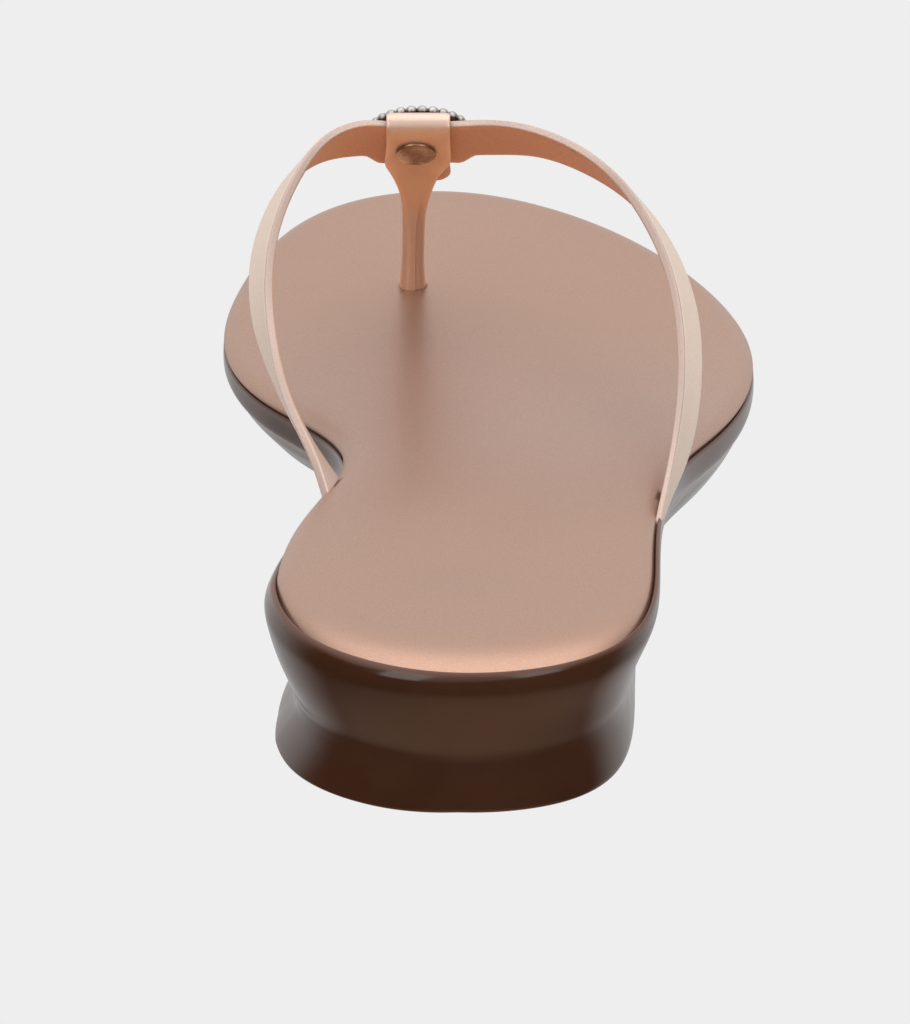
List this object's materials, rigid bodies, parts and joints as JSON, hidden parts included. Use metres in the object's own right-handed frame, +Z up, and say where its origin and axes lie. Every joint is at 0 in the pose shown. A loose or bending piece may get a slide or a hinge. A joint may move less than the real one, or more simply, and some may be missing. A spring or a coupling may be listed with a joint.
{
  "type": "toe post sandal",
  "caption": "Flat right-foot toe post sandal: low moulded heel and sole, padded insole, narrow V-shaped strap and a folded leather post behind a beaded round ornament.",
  "frame": {"origin": "on the floor under the middle of the sole's outline", "axes": "+Y along the sole towards the toes, +X towards the lateral side, +Z up"},
  "size_m": [0.0832, 0.2374, 0.0439],
  "materials": {
    "sole": "glossy dark brown moulded unit",
    "insole": "rose-gold metallic, fine shimmer",
    "strap": "pale champagne outside, copper lining inside",
    "toe_post": "satin copper",
    "rivet": "antique brass, domed",
    "ornament": "antique silver, darkened between the beads"
  },
  "bodies": {
    "root": {"sole": "sole", "insole": "insole", "strap": "strap", "toe_post": "toe_post", "rivet": "rivet", "ornament": "ornament"}
  },
  "joints": []
}
